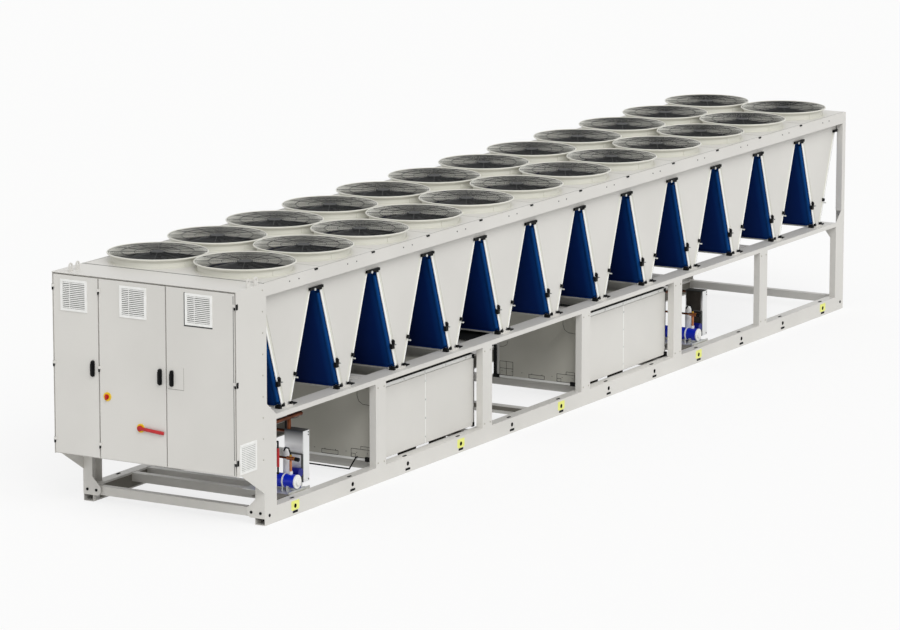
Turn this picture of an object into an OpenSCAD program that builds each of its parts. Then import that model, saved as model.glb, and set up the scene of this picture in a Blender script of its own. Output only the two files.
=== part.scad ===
// Air cooled water chiller with twelve V-shaped cooling modules, two fan rows and a control cabinet.
// Millimetres, +Z up. X runs along the length with the cabinet at the -X end.

/* [Overall] */
// length of one cooling module
module_pitch = 1100; // [1000:10:1200]
// number of cooling modules along the length
module_count = 12; // [4:2:12]
// overall width of frame, deck and cabinet
body_w = 2200; // [2100:10:2300]
// height of the fan deck
deck_z = 2460; // [2400:10:2600]
// frame length past the last module
frame_over = 30; // [0:5:60]

/* [Base frame] */
// height of a base rail
rail_h = 170; // [150:5:200]
// width of a base rail
rail_w = 120; // [100:5:140]
// wall of the rails, posts and beams
plate_t = 6; // [4:1:8]
// diameter of the lifting holes
lift_d = 40; // [30:1:50]
// height of the lifting holes
lift_z = 95; // [90:1:100]
// place of the first lifting hole along the frame
lift_x = 562; // [500:1:600]
// length of the slot under a lifting hole
slot_l = 70; // [50:5:100]
// height of that slot's middle
slot_z = 40; // [35:1:45]
// diameter of the anchor holes in the rail floor
anchor_d = 22; // [16:1:26]
// length of a cross member's section along the frame
cross_w = 80; // [60:5:100]
// height of a cross member
cross_h = 90; // [70:5:100]
// top height of the cross members
cross_top = 165; // [150:1:168]

/* [Posts and beams] */
// width of a side post along the frame
post_w = 200; // [180:5:220]
// depth of a side post across the frame
post_d = 78; // [60:2:90]
// shift of the side posts from the module border
post_shift = 25; // [0:1:40]
// width of the front corner post
front_post_w = 220; // [200:5:240]
// width of the rear corner post
rear_post_w = 225; // [200:5:240]
// width of the upper part of the rear corner post
rear_post_top = 85; // [60:5:100]
// depth of the corner posts across the frame
corner_d = 110; // [90:5:120]
// top height of the middle beam
beam_z = 1107; // [1090:1:1120]
// front lip of the middle beam
beam_lip = 50; // [40:1:60]
// width of the middle beam's top
beam_w = 210; // [180:5:240]
// height where the corner posts become narrow
post_neck = 1237; // [1200:1:1260]

/* [Cooling modules] */
// half width of a V at its foot, coil included
v_foot = 75; // [65:1:90]
// half width of a V at its top, coil included
v_top = 456; // [430:1:480]
// height of the V foot above the middle beam
v_lift = 18; // [12:1:24]
// height where a V panel becomes a full wall
v_wall_z = 2240; // [2200:5:2280]
// distance of the V panels behind the outer face
v_recess = 90; // [80:1:110]
// thickness of a V panel
v_t = 4; // [3:1:6]
// thickness of a coil
coil_t = 60; // [40:5:70]
// diameter of a coil header tube
header_d = 42; // [34:1:50]

/* [Fan deck] */
// height of the fascia
fascia_h = 132; // [120:1:150]
// thickness of the deck plates
deck_t = 8; // [5:1:10]
// room between a fan ring's lip and the edge of its share of the deck
fan_edge = 33; // [30:1:50]
// shift of the fan rows towards the middle
fan_in = 22; // [10:1:30]
// flare of a fan ring from its foot to its lip
flare = 37; // [30:1:45]
// height of a fan ring
ring_h = 88; // [80:1:100]
// thickness of a fan guard
guard_t = 4; // [3:1:8]
// width of a guard's inner rings
wire_t = 3; // [2:0.5:6]
// width of a guard's spokes
spoke_t = 4; // [3:0.5:8]
// number of guard spokes
spoke_n = 12; // [8:1:12]
// radius of a fan motor
motor_r = 80; // [70:1:90]
// height of a fan motor
motor_h = 150; // [120:5:170]
// gap between a rotor's tip and the fan ring
tip_gap = 25; // [20:1:40]
// number of blades
blade_n = 7; // [4:1:7]

/* [Control cabinet] */
// depth of the cabinet in front of the frame
cab_d = 500; // [450:5:550]
// height of the cabinet floor
cab_z = 593; // [570:1:620]
// wall of the cabinet
cab_t = 6; // [4:1:8]
// thickness of a door
door_t = 25; // [20:1:30]
// gap behind a door
door_gap = 5; // [5:0.5:8]
// lower edge of the doors
door_z0 = 608; // [605:1:640]
// upper edge of the doors
door_z1 = 2437; // [2400:1:2440]
// share of the width left of the hinge line between left and middle door
left_share = 0.2555; // [0.24:0.0005:0.27]
// share of the width right of the gap between middle and right door
right_share = 0.377; // [0.36:0.001:0.39]
// distance of the outer hinge lines from the side faces
hinge_in = 10; // [9:0.5:14]
// distance of a door edge from its hinge line
hinge_gap = 8; // [8:0.5:10]
// radius of a hinge knuckle
pin_r = 7; // [5:0.5:7]
// width of a door vent
vent_w = 320; // [280:5:330]
// height of a door vent's middle
vent_z = 2236; // [2200:1:2250]
// how far handles stand out of the doors
handle_out = 40; // [30:1:50]
// height of a handle's middle
handle_z = 1516; // [1490:1:1540]
// distance of a handle's middle from the door's free edge
handle_in = 64; // [55:1:75]
// number of slats in a vent
slat_n = 14; // [8:1:16]

/* [Machinery] */
// start of the first compressor enclosure along the frame
box_x = 2310; // [2300:5:2330]
// length of an enclosure
box_l = 2030; // [1900:10:2040]
// top height of an enclosure
box_z = 985; // [950:1:1000]
// depth of an enclosure's door leaf
leaf_t = 36; // [20:1:40]
// distance of the enclosure doors behind the outer face
leaf_in = 119; // [110:1:130]
// height of an enclosure's floor
box_z0 = 205; // [190:1:220]
// far face of an enclosure
box_far = 65; // [40:1:90]
// distance from the first to the second enclosure, in modules
box_step = 4; // [4:1:4]
// distance from the first to the second drier set, in modules
set_step = 8; // [8:1:8]
// distance of a drier set's front behind the outer face
set_in = 140; // [130:1:160]
// middle of a filter drier along the frame
drier_x = 841; // [830:1:850]
// height of a filter drier's middle
drier_z = 266; // [260:1:280]
// radius of a filter drier
drier_r = 72; // [65:1:78]
// start of a plate heat exchanger along the frame
hx_x = 1025; // [1020:1:1040]
// length of a plate heat exchanger along the frame
hx_l = 115; // [100:1:130]
// top height of a plate heat exchanger
hx_z = 750; // [700:5:800]
// width of a plate heat exchanger across the frame
hx_w = 220; // [200:5:240]
// height of a plate heat exchanger's foot
hx_foot = 46; // [30:1:60]
// height of the thick copper pipe
pipe_z = 930; // [880:5:940]
// radius of the thick copper pipe
pipe_r = 21; // [15:1:26]
// radius of the thin copper pipe
thin_r = 12; // [8:1:16]

/* [Hidden] */
$fn = 64;
half = body_w / 2;
frame_len = module_count * module_pitch + frame_over;
x_mid = (frame_len - cab_d - handle_out) / 2;
v_z = beam_z + v_lift;
v_len = v_wall_z - v_z;
v_slope = (v_top - v_foot) / v_len;
v_ang = atan(v_slope);
coil_x = coil_t / cos(v_ang);
coil_len = v_len / cos(v_ang) - coil_t * tan(v_ang) - 2;
wall_y = half - v_recess;
casing_t = 5;
coil_y = wall_y - v_t - casing_t;
fascia_z = deck_z - fascia_h;
deck_under = deck_z - deck_t;
guard_z = deck_z + ring_h;
hub_h = 110;
hub_r = 120;
lip_r = min(body_w / 4, module_pitch / 2) - fan_edge;
fan_y = body_w / 4 - fan_in;
ring_r = lip_r - flare;
tip_r = ring_r - tip_gap;
leaf_y = half - leaf_in;
set_y = half - set_in;
hinge_mid = half - body_w * left_share;
split_y = -half + body_w * right_share;
front = -cab_d;
frame_x = front + door_t + door_gap;
hinge_x = front - 5;
hinge_zs = [2305, 1520, 735];
door_l = [hinge_mid + hinge_gap, half - hinge_in - hinge_gap];
door_m = [split_y + 7, hinge_mid - hinge_gap];
door_r = [-half + hinge_in + hinge_gap, split_y - 7];
vent_l_y = (door_l[0] + door_l[1]) / 2 + 18;
vent_m_y = (door_m[0] + door_m[1]) / 2 - 17;
vent_r_y = (door_r[0] + door_r[1]) / 2 + 15;
post_xs = [for (k = [1 : module_count / 2 - 1]) 2 * k * module_pitch + post_shift];
set_xs = [0, set_step * module_pitch];
box_xs = [box_x, box_x + box_step * module_pitch];
tray_t = 6;
tray_z = cross_top + tray_t;
set_cross = [drier_x - 150, hx_x - 50];
cross_xs = concat([20], set_cross, [for (b = box_xs) each [b + 90, b + box_l - 170]],
    [5 * module_pitch - 40, set_cross[0] + set_xs[1], set_cross[1] + set_xs[1], frame_len - 100]);
paint = "#d6d5d0";

// the node to draw, or all of them

// middle of cooling module i
function xc(i) = module_pitch * (i + 0.5);

// moves from the frame's front corner to the middle of the part
module placed() translate([-x_mid, 0, 0]) children();

// repeats a right-hand piece on both long sides
module both() {
    children();
    mirror([0, 1, 0]) children();
}

// plate drawn in X and Z, with its outer face at -y and thickness t inward
module xz_plate(pts, y, t) translate([0, -y + t, 0]) rotate([90, 0, 0]) linear_extrude(t) polygon(pts);

// plate drawn in Y and Z, standing at x with thickness t toward +X
module yz_plate(pts, x, t) translate([x, 0, 0]) rotate([90, 0, 90]) linear_extrude(t) polygon(pts);

module base_rails() color(paint) placed() both() difference() {
    translate([0, -half, 0]) cube([frame_len, rail_w, rail_h]);
    translate([-1, -half + plate_t, plate_t])
        cube([frame_len + 2, rail_w - 2 * plate_t, rail_h - 2 * plate_t]);
    for (i = [0 : module_count - 1]) {
        translate([lift_x + i * module_pitch, -half + rail_w + 1, lift_z]) rotate([90, 0, 0])
            cylinder(h = rail_w + 2, d = lift_d);
        translate([lift_x + i * module_pitch - slot_l / 2, -half - 1, slot_z - 10])
            cube([slot_l, plate_t + 2, 20]);
    }
    for (x = concat([120], post_xs, [frame_len - 120])) translate([x, -half + rail_w / 2, -1])
        cylinder(h = plate_t + 2, d = anchor_d);
}

module base_cross_members() color(paint) placed() for (x = cross_xs)
    translate([x, half - rail_w, cross_top - cross_h]) rotate([90, 0, 0])
        linear_extrude(body_w - 2 * rail_w) difference() {
            square([cross_w, cross_h]);
            translate([plate_t, -1]) square([cross_w - 2 * plate_t, cross_h - plate_t + 1]);
        }

module front_corner_posts() color(paint) placed() both() union() {
    xz_plate([[0, rail_h], [front_post_w, rail_h], [front_post_w, beam_z], [50, post_neck],
        [50, fascia_z], [0, fascia_z]], half, plate_t);
    translate([0, -half, rail_h]) cube([plate_t, corner_d, v_wall_z - rail_h]);
    translate([front_post_w - plate_t, -half, rail_h]) cube([plate_t, post_d, beam_z - rail_h]);
}

module front_gusset_plates() color(paint) placed() both()
    yz_plate([[-half, 70], [-half + 180, 70], [-half + 213, 100], [-half + 213, 160],
        [-half + corner_d, 265], [-half + corner_d, cab_z], [-half, cab_z]], -plate_t, plate_t);

module side_posts() color(paint) placed() both() for (x = post_xs)
    translate([x - post_w / 2, -half, rail_h]) linear_extrude(beam_z - beam_lip - rail_h) difference() {
        square([post_w, post_d]);
        translate([plate_t, plate_t]) square([post_w - 2 * plate_t, post_d]);
    }

module rear_corner_posts() color(paint) placed() both() union() {
    xz_plate([[frame_len, rail_h], [frame_len, fascia_z], [frame_len - rear_post_top, fascia_z],
        [frame_len - rear_post_top, post_neck], [frame_len - rear_post_w, beam_z],
        [frame_len - rear_post_w, rail_h]], half, plate_t);
    translate([frame_len - plate_t, -half, rail_h]) cube([plate_t, corner_d, fascia_z - rail_h]);
    translate([frame_len - rear_post_w, -half, rail_h]) cube([plate_t, post_d, beam_z - rail_h]);
    translate([frame_len - rear_post_top, -half, post_neck])
        cube([plate_t, post_d, fascia_z - post_neck]);
    yz_plate([[-half + 1, beam_z - beam_lip], [-half + beam_w - 20, beam_z - beam_lip],
        [-half + post_d, beam_z - beam_lip - 140], [-half + 1, beam_z - beam_lip - 140]],
        frame_len - rear_post_w, plate_t);
}

module mid_beams() color(paint) placed() both()
    translate([front_post_w, 0, 0]) rotate([90, 0, 90])
        linear_extrude(frame_len - front_post_w - rear_post_w)
            translate([-half, beam_z - beam_lip]) difference() {
                square([beam_w, beam_lip]);
                translate([plate_t, -1]) square([beam_w - 2 * plate_t, beam_lip - plate_t + 1]);
            }

module mid_cross_beams() color(paint) placed()
    for (x = concat([front_post_w + 60], post_xs, [frame_len - rear_post_w - 100]))
        translate([x - cross_w / 2, half - beam_w, beam_z - beam_lip]) rotate([90, 0, 0])
            linear_extrude(body_w - 2 * beam_w) difference() {
                square([cross_w, beam_lip]);
                translate([plate_t, -1]) square([cross_w - 2 * plate_t, beam_lip - plate_t + 1]);
            }

module v_feet() color(paint) placed() both() for (i = [0 : module_count - 1])
    translate([xc(i) - v_foot - 25, -wall_y - 15, beam_z]) cube([2 * v_foot + 50, 100, v_lift]);

module v_panels() color(paint) placed() both() for (i = [0 : module_count - 1])
    translate([xc(i), 0, 0]) {
        a = v_foot - coil_x + 10;
        b = v_top - coil_x + 10;
        e = module_pitch / 2 - 1;
        xz_plate([[-a, v_z], [a, v_z], [b, v_wall_z], [e, v_wall_z], [e, deck_under],
            [-e, deck_under], [-e, v_wall_z], [-b, v_wall_z]], wall_y, v_t);
    }

// lays a piece along the slant of both sides of every V, outer face at x = 0
module slanted() for (i = [0 : module_count - 1]) for (s = [0, 1])
    translate([xc(i), 0, v_z]) mirror([s, 0, 0]) translate([v_foot, 0, 0]) rotate([0, v_ang, 0])
        translate([0, 0, coil_t * tan(v_ang)]) children();

module coil_end_plates() color(paint) placed() both() slanted()
    translate([-coil_t, -wall_y + v_t, 0]) cube([coil_t, casing_t, coil_len]);

module condenser_coils() color("#0a1f55") placed() slanted()
    translate([-coil_t, -coil_y, 0]) cube([coil_t, 2 * coil_y, coil_len]);

module coil_headers() color("#0f4fa3") placed() both() slanted()
    translate([0, -coil_y + 30, 40]) linear_extrude(coil_len - 110) difference() {
        translate([10, 0]) circle(d = header_d);
        translate([-header_d, -header_d]) square([header_d, 2 * header_d]);
    }

module coil_clips() color("#18191b") placed() both() {
    for (i = [1 : module_count - 1])
        translate([i * module_pitch - 125, -wall_y - 24, v_wall_z - 18]) cube([250, 24, 28]);
    translate([module_count * module_pitch - 160, -wall_y - 24, v_wall_z - 18]) cube([100, 24, 28]);
    slanted() translate([-coil_t + 26, -wall_y + v_t - 24, 265]) cube([30, 24, 36]);
}

module fan_deck() color(paint) placed() for (i = [0 : module_count - 1]) {
    x1 = i == module_count - 1 ? frame_len - plate_t : (i + 1) * module_pitch - 1;
    x0 = i * module_pitch + (i == 0 ? 0 : 1);
    difference() {
        translate([x0, -half + plate_t, deck_under]) cube([x1 - x0, body_w - 2 * plate_t, deck_t]);
        for (s = [-1, 1]) translate([xc(i), s * fan_y, deck_under - 1])
            cylinder(h = deck_t + 2, r = ring_r - 10);
    }
}

module deck_fascias() color(paint) placed() {
    both() translate([0, -half, fascia_z]) cube([frame_len, plate_t, fascia_h]);
    translate([frame_len - plate_t, -half + plate_t + 1, fascia_z])
        cube([plate_t, body_w - 2 * plate_t - 2, fascia_h]);
}

// puts a piece at every fan of one row, or of both
module fans(rows) for (i = [0 : module_count - 1]) for (s = rows)
    translate([xc(i), s * fan_y, 0]) children();

module fan_diffusers() color("#dad8cd") placed() fans([-1, 1]) translate([0, 0, deck_z])
    rotate_extrude() polygon([[ring_r - 6, 0], [lip_r - 8, 0], [lip_r - 8, 5], [ring_r, 5],
        [ring_r, 52], [ring_r + 9, 70], [lip_r, ring_h - 6], [lip_r, ring_h], [lip_r - 14, ring_h],
        [ring_r + 2, 74], [ring_r - 6, 54]]);

module guard() translate([0, 0, guard_z]) linear_extrude(guard_t) union() {
    for (ring = [[lip_r - 2, 6], [lip_r * 0.72, wire_t], [lip_r * 0.46, wire_t]]) difference() {
        circle(ring[0]);
        circle(ring[0] - ring[1]);
    }
    circle(motor_r);
    for (a = [0 : spoke_n - 1]) rotate(a * 360 / spoke_n) translate([motor_r - 5, -spoke_t / 2])
        square([lip_r - motor_r, spoke_t]);
}

module fan_guards_right() color("#c9c8c2") placed() fans([-1]) guard();

module fan_guards_left() color("#c9c8c2") placed() fans([1]) guard();

module fan_motors() color("#1b1c1e") placed() fans([-1, 1])
    translate([0, 0, guard_z - motor_h]) cylinder(h = motor_h, r = motor_r);

module fan_rotors() color("#232427") placed() fans([-1, 1]) translate([0, 0, guard_z - motor_h - hub_h])
    union() {
        cylinder(h = hub_h, r = hub_r);
        for (k = [0 : blade_n - 1]) rotate(k * 360 / blade_n) intersection() {
            translate([0, 0, -20]) cylinder(h = hub_h + 40, r = tip_r);
            translate([0, 0, hub_h / 2]) rotate([24, 0, 0]) translate([hub_r - 15, 0, -4])
                linear_extrude(8) polygon([[0, -70], [150, -118], [300, -172], [380, -180],
                    [380, 90], [260, 108], [120, 88], [0, 60]]);
        }
    }

module cabinet_shell() color(paint) placed() union() {
    translate([-cab_t, -half, cab_z]) cube([cab_t, body_w, deck_z - cab_z]);
    both() translate([front + 4, -half, cab_z]) cube([cab_d - 4, cab_t, deck_z - cab_z]);
    translate([frame_x, -half, cab_z]) cube([-frame_x, body_w, cab_t]);
    translate([front - 5, -half, deck_z - cab_t]) cube([cab_d + 5, body_w, cab_t]);
    difference() {
        translate([frame_x, -half, cab_z]) cube([cab_t, body_w, deck_z - cab_z]);
        for (d = [door_l, door_m, door_r]) translate([frame_x - 1, d[0] + 30, door_z0 + 30])
            cube([cab_t + 2, d[1] - d[0] - 60, door_z1 - door_z0 - 60]);
    }
}

module cabinet_brackets() color(paint) placed() both()
    xz_plate([[-plate_t, cab_z], [-plate_t, 335], [-368, 560], [-420, cab_z]], half, plate_t);

// fixed lower halves of the door hinges
module door_hinges() color("#18191b") placed()
    for (y = [half - hinge_in, hinge_mid, -half + hinge_in]) for (z = hinge_zs)
        translate([hinge_x, y, z - 30]) union() {
            cylinder(h = 30, r = pin_r);
            translate([0, -2, 0]) cube([frame_x - hinge_x, 4, 30]);
        }

// door leaf over y range d, hinged at hy, with a hole behind its vent at vy
module door(d, hy, vy) {
    dir = hy > d[1] ? -1 : 1;
    difference() {
        translate([front, d[0], door_z0]) cube([door_t, d[1] - d[0], door_z1 - door_z0]);
        translate([front + 4, d[0] + 4, door_z0 + 4])
            cube([door_t, d[1] - d[0] - 8, door_z1 - door_z0 - 8]);
        translate([front - 1, vy - vent_w / 2 + 25, vent_z - vent_w / 2 + 25])
            cube([door_t, vent_w - 50, vent_w - 50]);
    }
    for (z = hinge_zs) {
        translate([hinge_x, hy, z + 0.3]) cylinder(h = 28, r = pin_r);
        translate([hinge_x - 3, dir > 0 ? hy : hy - 28, z + 0.3]) cube([9, 28, 28]);
    }
}

module door_left() color(paint) placed() union() door(door_l, half - hinge_in, vent_l_y);

module door_middle() color(paint) placed() union() door(door_m, hinge_mid, vent_m_y);

module door_right() color(paint) placed() union() door(door_r, -half + hinge_in, vent_r_y);

// square louvred vent drawn flat, w wide, standing t high
module louvre(w, t) union() {
    linear_extrude(t) difference() {
        square(w, center = true);
        square(w - 50, center = true);
    }
    for (k = [0 : slat_n - 1]) translate([-w / 2 + 20, -w / 2 + 29 + k * (w - 50) / slat_n, 0])
        cube([w - 40, (w - 50) / slat_n - 8, t - 3]);
    translate([-w / 6, -w / 2 + 20, 0]) cube([6, w - 40, t - 3]);
}

module door_vent(y) placed() translate([front, y, vent_z]) rotate([90, 0, -90]) louvre(vent_w, 10);

module vent_left() color("#dededb") door_vent(vent_l_y);

module vent_middle() color("#dededb") door_vent(vent_m_y);

module vent_right() color("#dededb") door_vent(vent_r_y);

// lever handle standing out of a door at y, raised by up
module handle(y, up) placed() translate([front - up, y, handle_z]) rotate([90, 0, -90]) union() {
    linear_extrude(handle_out * 0.5 - up) union() {
        square([40, 126], center = true);
        for (s = [-1, 1]) translate([0, s * 63]) circle(r = 20);
    }
    translate([-12, -66, 0]) cube([24, 120, handle_out - up]);
}

module handle_left() color("#18191b") handle(door_l[0] + handle_in, 0);

module handle_middle() color("#18191b") handle(door_m[0] + handle_in, 0);

module handle_right() color("#18191b") handle(door_r[1] - handle_in, 4);

module switch_bosses() color("#e3c31c") placed() for (p = [[door_m[1] - 90, 1246], [door_m[0] + 304, 968]])
    translate([front, p[0], p[1]]) rotate([0, -90, 0]) cylinder(h = 8, r = 45);

module switch_lever() color("#b8262a") placed() translate([front - 8, door_m[0] + 304, 968])
    rotate([0, -90, 0]) union() {
        cylinder(h = 24, r = 28);
        rotate(-4) translate([-16, -285, 5]) cube([32, 280, 14]);
    }

module stop_button() color("#b8262a") placed() translate([front - 8, door_m[1] - 90, 1246])
    rotate([0, -90, 0]) union() {
        cylinder(h = 12, r = 24);
        translate([-28, -9, 12]) cube([56, 18, 14]);
    }

module display_hatch() color("#d9d8d4") placed()
    translate([front - 4, door_r[1] - 199, 1411]) cube([4, 181, 220]);

module side_vents() color("#dededb") placed() both()
    translate([-298, -half, 760]) rotate([90, 0, 0]) louvre(303, 6);

module lifting_eyes() color(paint) placed()
    for (p = [[-410, half - 170], [-288, half - 170], [-244, -half + 20], [-108, -half + 20]])
        translate([p[0], p[1] + 6, deck_z]) rotate([90, 0, 0]) linear_extrude(12) difference() {
            union() {
                translate([-30, 0]) square([60, 58]);
                translate([0, 58]) circle(r = 30);
            }
            translate([0, 56]) circle(r = 16);
        }

module compressor_enclosures() color("#a9aaaa") placed() for (x = box_xs)
    translate([x, -leaf_y + leaf_t, box_z0])
        cube([box_l, leaf_y - leaf_t + box_far, box_z - box_z0]);

module enclosure_feet() color("#18191b") placed() for (x = box_xs)
    for (dx = [95, box_l - 165]) for (y = [-leaf_y + 120, box_far - 220])
        translate([x + dx, y, cross_top]) cube([cross_w - 10, 100, box_z0 - cross_top]);

module enclosure_doors() color(paint) placed() for (x = box_xs) for (k = [0, 1])
    translate([x + 8 + k * box_l / 2, -leaf_y, box_z0 - 10])
        cube([box_l / 2 - 16, leaf_t, box_z - box_z0 - 35]);

module equipment_trays() color("#b9bab8") placed() for (x = set_xs) translate([x, 0, 0]) difference() {
    union() {
        translate([drier_x - 180, -set_y, cross_top]) cube([hx_x - drier_x + 215, 560, tray_t]);
        translate([drier_x - 180, -set_y, tray_z - 1]) cube([hx_x - drier_x + 215, 4, 22]);
        for (y = [80, 320]) translate([drier_x - 60, y - set_y, tray_z - 1])
            cube([120, 30, drier_z - tray_z - 40]);
    }
    translate([drier_x, 0, drier_z]) rotate([90, 0, 0]) cylinder(h = half, r = drier_r);
}

module heat_exchangers() color("#c3c5c6") placed() for (x = set_xs)
    translate([x + hx_x, 60 - set_y, tray_z]) union() {
        translate([0, 0, hx_foot]) cube([hx_l, hx_w, hx_z - tray_z - hx_foot]);
        translate([2, 30, 0]) cube([30, hx_w - 60, hx_foot + 1]);
    }

module filter_driers() color("#1414b4") placed() for (x = set_xs)
    translate([x + drier_x, 400 - set_y, drier_z]) rotate([90, 0, 0]) cylinder(h = 380, r = drier_r);

module drier_caps() color("#e9e9e6") placed() for (x = set_xs)
    translate([x + drier_x, 20 - set_y, drier_z]) rotate([90, 0, 0]) union() {
        cylinder(h = 12, r = drier_r);
        cylinder(h = 26, r = drier_r * 0.5);
    }

// round bar through a list of points, each run along one axis, with a wider ball as the elbow
module pipe_run(points, r) union() {
    for (k = [1 : len(points) - 1]) {
        run = points[k] - points[k - 1];
        translate(points[k - 1]) rotate([0, acos(run.z / norm(run)), atan2(run.y, run.x)])
            cylinder(h = norm(run), r = r);
    }
    for (k = [1 : len(points) - 2]) translate(points[k]) sphere(r = r + 2.5);
}

// the drier's riser and the exchanger's line join on their way to the cabinet or the enclosure
module copper_pipes() color("#9a5630") placed() for (k = [0, 1]) translate([set_xs[k], 0, 0]) {
    tee = [drier_x, 90 - set_y, drier_z + drier_r + 165];
    side = [hx_x + hx_l / 2, 60 + hx_w - set_y, hx_z - 30];
    back_y = 480 - set_y;
    top = [hx_x + 25, 100 - set_y, pipe_z];
    start_x = k == 0 ? 0 : box_xs[1] + box_l - set_xs[1];
    union() {
        difference() {
            pipe_run([[tee.x, tee.y, drier_z], tee, [tee.x, back_y, tee.z], [tee.x, back_y, side.z]], thin_r);
            translate([tee.x, tee.y + 100, drier_z]) rotate([90, 0, 0]) cylinder(h = 200, r = drier_r);
        }
        pipe_run([side, [side.x, back_y, side.z], [start_x, back_y, side.z]], thin_r + 3);
    }
    if (k == 0)
        pipe_run([[start_x, top.y, top.z], top, top + [0, 140, 0],
            [top.x, top.y + 140, hx_z]], pipe_r);
}

base_rails();
base_cross_members();
front_corner_posts();
front_gusset_plates();
side_posts();
rear_corner_posts();
mid_beams();
mid_cross_beams();
v_feet();
v_panels();
coil_end_plates();
condenser_coils();
coil_headers();
coil_clips();
fan_deck();
deck_fascias();
fan_diffusers();
fan_guards_right();
fan_guards_left();
fan_motors();
fan_rotors();
cabinet_shell();
cabinet_brackets();
door_hinges();
door_left();
door_middle();
door_right();
vent_left();
vent_middle();
vent_right();
handle_left();
handle_middle();
handle_right();
switch_bosses();
switch_lever();
stop_button();
display_hatch();
side_vents();
lifting_eyes();
compressor_enclosures();
enclosure_feet();
enclosure_doors();
equipment_trays();
heat_exchangers();
filter_driers();
drier_caps();
copper_pipes();
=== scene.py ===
"""Air cooled water chiller: finishes, small fittings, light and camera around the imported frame."""
import math

import bmesh
import bpy
from mathutils import Matrix, Vector


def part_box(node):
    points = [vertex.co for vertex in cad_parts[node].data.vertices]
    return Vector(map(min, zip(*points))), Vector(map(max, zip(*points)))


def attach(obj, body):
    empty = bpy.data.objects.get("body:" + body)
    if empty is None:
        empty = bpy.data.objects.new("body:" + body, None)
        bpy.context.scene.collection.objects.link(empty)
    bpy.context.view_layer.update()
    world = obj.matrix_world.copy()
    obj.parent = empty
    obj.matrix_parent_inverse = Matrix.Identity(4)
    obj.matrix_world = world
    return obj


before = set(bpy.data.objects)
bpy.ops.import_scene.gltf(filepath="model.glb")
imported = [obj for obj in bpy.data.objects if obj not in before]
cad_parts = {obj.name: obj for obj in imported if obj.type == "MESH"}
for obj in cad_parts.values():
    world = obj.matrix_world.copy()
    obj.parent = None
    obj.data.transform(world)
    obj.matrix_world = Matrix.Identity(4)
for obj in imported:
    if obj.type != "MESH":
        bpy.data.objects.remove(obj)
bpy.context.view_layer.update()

# Sizes in millimetres. X starts at the frame's front corner, as on the drawing.
MM = 0.001
FRONT_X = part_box("base_rails")[0][0]
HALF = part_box("base_rails")[1][1] / MM
FRAME_LEN = (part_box("base_rails")[1][0] - FRONT_X) / MM
DECK_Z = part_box("fan_deck")[1][2] / MM
RAIL_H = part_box("base_rails")[1][2] / MM
BEAM_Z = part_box("mid_beams")[1][2] / MM
GUARD_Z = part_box("fan_guards_right")[0][2] / MM
DOOR_X = (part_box("display_hatch")[1][0] - FRONT_X) / MM
MODULE = 1100
MODULES = 12
MOTOR_R = 80
FAN_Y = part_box("fan_motors")[1][1] / MM - MOTOR_R
RING_R = 480
LIP_R = 517
WALL_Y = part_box("v_panels")[1][1] / MM
SIDES = (-1, 1)
FAN_ROWS = (("right", -1), ("left", 1))
DOORS = ("left", "middle", "right")
HINGE_Z = (2305, 1520, 735)
ENCLOSURE_X = (2310, 2310 + 4 * MODULE)
ENCLOSURE_LEN = 2030
SETS = (("front", 0), ("rear", 8 * MODULE))
TRAY_Z = 171


def at(x, y, z):
    """A point on the drawing, in the row frame's metres."""
    return Vector((FRONT_X + x * MM, y * MM, z * MM))


def module_middle(i):
    return MODULE * (i + 0.5)


# Finishes


def linear(hex_colour):
    """An sRGB hex colour as linear RGBA."""
    parts = [int(hex_colour[k:k + 2], 16) / 255 for k in (1, 3, 5)]
    return tuple(c / 12.92 if c <= 0.04045 else ((c + 0.055) / 1.055) ** 2.4 for c in parts) + (1.0,)


def add(tree, kind, settings=None, links=None):
    """Adds a shader node with its settings and links."""
    node = tree.nodes.new(kind)
    for key, value in (settings or {}).items():
        if isinstance(key, int) or key in node.inputs:
            node.inputs[key].default_value = value
        else:
            setattr(node, key, value)
    for key, source in (links or {}).items():
        tree.links.new(source, node.inputs[key])
    return node


def start_finish(name, roughness, metallic=0.0, ior=1.5):
    """A new material with its Principled shader set."""
    material = bpy.data.materials.new(name)
    material.use_nodes = True
    shader = material.node_tree.nodes["Principled BSDF"]
    shader.inputs["Roughness"].default_value = roughness
    shader.inputs["Metallic"].default_value = metallic
    if not metallic:
        shader.inputs["IOR"].default_value = ior
    return material, material.node_tree, shader


def mottled(tree, shader, light, dark, patch_mm):
    """Slow drift between two close shades, patch_mm across."""
    place = add(tree, "ShaderNodeTexCoord")
    drift = add(tree, "ShaderNodeTexNoise", {"Scale": 1 / (patch_mm * MM), "Detail": 3.0},
                {"Vector": place.outputs["Object"]})
    shade = add(tree, "ShaderNodeValToRGB", None, {"Fac": drift.outputs["Fac"]})
    shade.color_ramp.elements[0].position = 0.35
    shade.color_ramp.elements[0].color = linear(dark)
    shade.color_ramp.elements[1].position = 0.65
    shade.color_ramp.elements[1].color = linear(light)
    tree.links.new(shade.outputs["Color"], shader.inputs["Base Color"])
    return place


def powder_coat(name, light, dark, roughness=0.45, shine=0.5):
    """Baked polyester powder on folded sheet: even, half matt, with a faint orange peel.
    The real peel is under 2 mm; it is drawn 12 mm across so that it shows."""
    material, tree, shader = start_finish(name, roughness)
    shader.inputs["Specular IOR Level"].default_value = shine
    place = mottled(tree, shader, light, dark, 900)
    peel = add(tree, "ShaderNodeTexNoise", {"Scale": 1 / (12 * MM), "Detail": 1.0},
               {"Vector": place.outputs["Object"]})
    bump = add(tree, "ShaderNodeBump", {"Strength": 0.04, "Distance": 0.0006},
               {"Height": peel.outputs["Fac"]})
    tree.links.new(bump.outputs["Normal"], shader.inputs["Normal"])
    return material


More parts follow.
